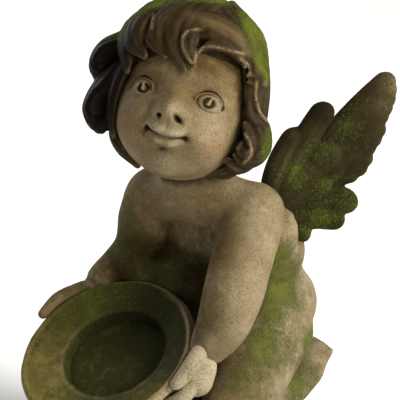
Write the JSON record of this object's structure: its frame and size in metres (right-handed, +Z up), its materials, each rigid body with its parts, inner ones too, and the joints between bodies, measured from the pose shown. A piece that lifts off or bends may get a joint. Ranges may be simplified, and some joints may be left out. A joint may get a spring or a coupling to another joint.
{
  "type": "angel garden statue",
  "caption": "Kneeling winged cherub garden statue that leans forward over a round tilted dish, cast in one piece with a low oval base.",
  "frame": {"origin": "centre of the oval base's flat underside", "axes": "+Z up; the body faces -Y and its left side is +X, while the head is turned towards +X"},
  "size_m": [0.1933, 0.2548, 0.3499],
  "materials": {
    "angel_statue": "matte stone-coloured cast resin, dark speckles, brown hair, green moss"
  },
  "bodies": {
    "root": {"angel_statue": "angel_statue"}
  },
  "joints": []
}
